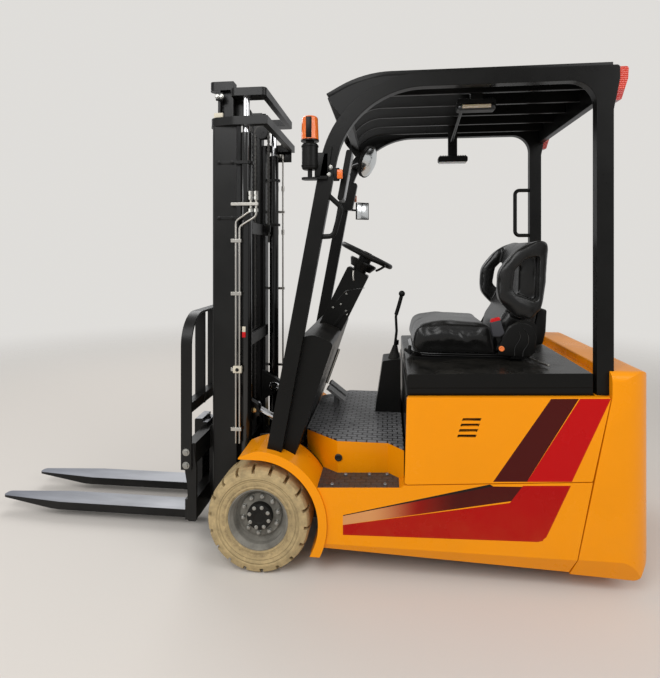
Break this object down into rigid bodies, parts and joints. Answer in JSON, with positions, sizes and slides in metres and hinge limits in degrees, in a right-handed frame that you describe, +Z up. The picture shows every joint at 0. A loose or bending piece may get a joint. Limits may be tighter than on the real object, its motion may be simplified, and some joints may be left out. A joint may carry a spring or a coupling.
{
  "type": "forklift",
  "caption": "Yellow electric counterbalance forklift with a two-stage mast, an overhead guard, a bucket seat and solid beige front tyres.",
  "frame": {"origin": "bottom centre of the whole machine, on the floor, halfway between the fork tips and the tail", "axes": "+X forward along the forks, +Y to the driver's left, +Z up"},
  "size_m": [3.132, 1.08, 2.205],
  "materials": {
    "body_paint": "gloss",
    "black_paint": "satin",
    "fork_steel": "satin",
    "wheel_paint": "satin",
    "cast_black": "rough",
    "tyre_beige": "matte",
    "tyre_black": "matte",
    "mat_rubber": "matte",
    "black_plastic": "textured",
    "seat_vinyl": "soft sheen",
    "bright_rod": "polished",
    "pipe_steel": "satin",
    "chain_steel": "oiled",
    "battery_case": "matte",
    "amber_lens": "clear gloss",
    "red_lens": "clear gloss"
  },
  "bodies": {
    "chassis": {"sills": "body_paint", "fenders": "body_paint", "side_panels": "body_paint", "drive_axle": "cast_black", "counterweight": "body_paint", "chassis_frame": "black_paint", "battery": "battery_case", "floor_tray": "body_paint", "floor_mats": "mat_rubber", "cowl": "black_plastic", "steering_column": "black_plastic", "pedals": "black_paint", "lever_console": "black_plastic", "levers": "black_plastic", "guard_frame": "black_paint", "roof_bars": "black_paint", "roof_cover": "black_paint", "work_lights": "black_plastic", "tail_lamps": "red_lens", "beacon": "black_plastic", "beacon_lens": "amber_lens", "mirrors": "black_plastic"},
    "left_wheel": {"front_tyre_left": "tyre_beige", "front_rim_left": "wheel_paint"},
    "right_wheel": {"front_tyre_right": "tyre_beige", "front_rim_right": "wheel_paint"},
    "steering": {"steer_carrier": "cast_black"},
    "rear_axle": {"rear_tyres": "tyre_black", "rear_rims": "wheel_paint"},
    "hand_wheel": {"steering_wheel": "black_plastic"},
    "seat_deck": {"hood": "black_plastic", "seat_base": "black_plastic", "seat_cushion": "seat_vinyl", "seat_back": "seat_vinyl"},
    "mast": {"outer_mast": "black_paint", "lift_barrels": "black_paint", "mast_pipes": "pipe_steel"},
    "mast_stage": {"inner_mast": "black_paint", "lift_rods": "bright_rod", "lift_chains": "chain_steel"},
    "fork_carriage": {"carriage": "black_paint", "backrest": "black_paint", "forks": "fork_steel"},
    "tilt_cylinder": {"tilt_barrels": "black_paint"},
    "tilt_piston": {"tilt_rods": "bright_rod"}
  },
  "joints": [
    {"name": "left_wheel_spin", "type": "hinge", "parent": "chassis", "child": "left_wheel", "pos_m": [0.074, 0.441, 0.226], "axis": [0, 1, 0], "continuous": true},
    {"name": "right_wheel_spin", "type": "hinge", "parent": "chassis", "child": "right_wheel", "pos_m": [0.074, -0.441, 0.226], "axis": [0, 1, 0], "continuous": true},
    {"name": "rear_steer", "type": "hinge", "parent": "chassis", "child": "steering", "pos_m": [-1.266, 0, 0.438], "axis": [0, 0, 1], "range_deg": [-90, 90]},
    {"name": "rear_wheels_spin", "type": "hinge", "parent": "steering", "child": "rear_axle", "pos_m": [-1.266, 0, 0.19], "axis": [0, 1, 0], "continuous": true},
    {"name": "hand_wheel_turn", "type": "hinge", "parent": "chassis", "child": "hand_wheel", "pos_m": [-0.376, 0, 1.367], "axis": [-0.4462, 0, 0.8949], "continuous": true},
    {"name": "seat_deck_lift", "type": "hinge", "parent": "chassis", "child": "seat_deck", "pos_m": [-1.306, 0, 0.889], "axis": [0, -1, 0], "range_deg": [0, 60]},
    {"name": "mast_tilt", "type": "hinge", "parent": "chassis", "child": "mast", "pos_m": [0.074, 0, 0.226], "axis": [0, 1, 0], "range_deg": [-6, 3]},
    {"name": "mast_lift", "type": "slide", "parent": "mast", "child": "mast_stage", "axis": [0, 0, 1], "range_m": [0, 1.5]},
    {"name": "carriage_lift", "type": "slide", "parent": "mast_stage", "child": "fork_carriage", "axis": [0, 0, 1], "range_m": [0, 1.5]},
    {"name": "tilt_barrel_swing", "type": "hinge", "parent": "chassis", "child": "tilt_cylinder", "pos_m": [-0.226, 0.2, 0.41], "axis": [0, 1, 0], "range_deg": [-4, 2.2]},
    {"name": "tilt_piston_slide", "type": "slide", "parent": "tilt_cylinder", "child": "tilt_piston", "axis": [0.8889, 0, 0.4581], "range_m": [-0.036, 0.02]}
  ],
  "couplings": [
    {"joint": "carriage_lift", "follows": "mast_lift", "ratio": 1},
    {"joint": "tilt_barrel_swing", "follows": "mast_tilt", "ratio": 0.591},
    {"joint": "tilt_piston_slide", "follows": "mast_tilt", "m_per_rad": 0.3035}
  ]
}
